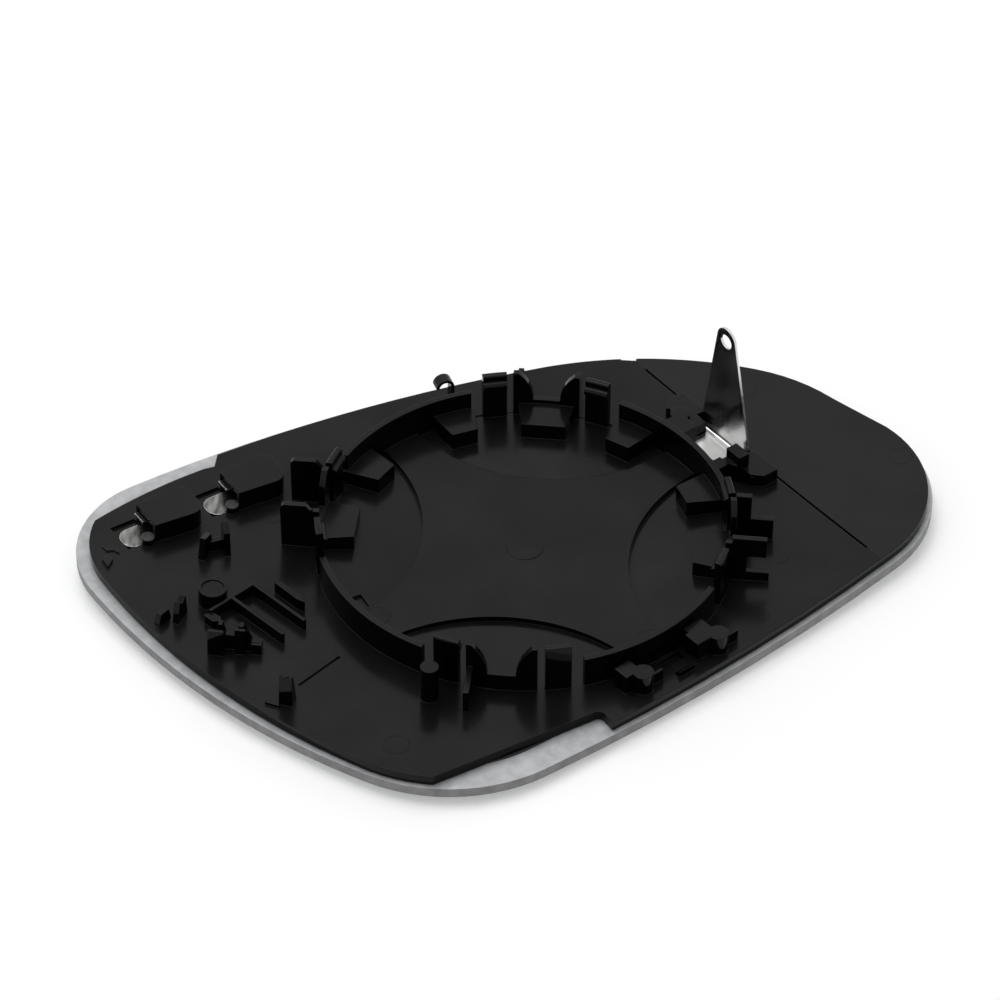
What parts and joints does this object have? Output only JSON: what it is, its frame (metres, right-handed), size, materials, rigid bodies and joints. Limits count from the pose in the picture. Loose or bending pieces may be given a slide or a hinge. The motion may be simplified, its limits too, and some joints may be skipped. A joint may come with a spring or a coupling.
{
  "type": "car door mirror glass",
  "caption": "Heated convex door mirror glass with a moulded backing plate: a clip ring that snaps onto the adjuster, hooded heater contacts and an upright retaining spring.",
  "frame": {"origin": "on the axis of the clip ring, where that axis meets the top of the backing plate", "axes": "+Z away from the mirror face along the clip ring's axis, +X along the glass towards its narrow rounded end, +Y towards the edge of the glass beside the retaining spring"},
  "size_m": [0.1655, 0.1284, 0.0348],
  "materials": {
    "glass": "gloss",
    "film": "matte",
    "plate": "satin",
    "contact": "satin",
    "spring": "satin"
  },
  "bodies": {
    "root": {"mirror_glass": "glass", "heater_pad": "film", "backing_plate": "plate", "heater_contact_left": "contact", "heater_contact_right": "contact", "retaining_spring": "spring"}
  },
  "joints": []
}
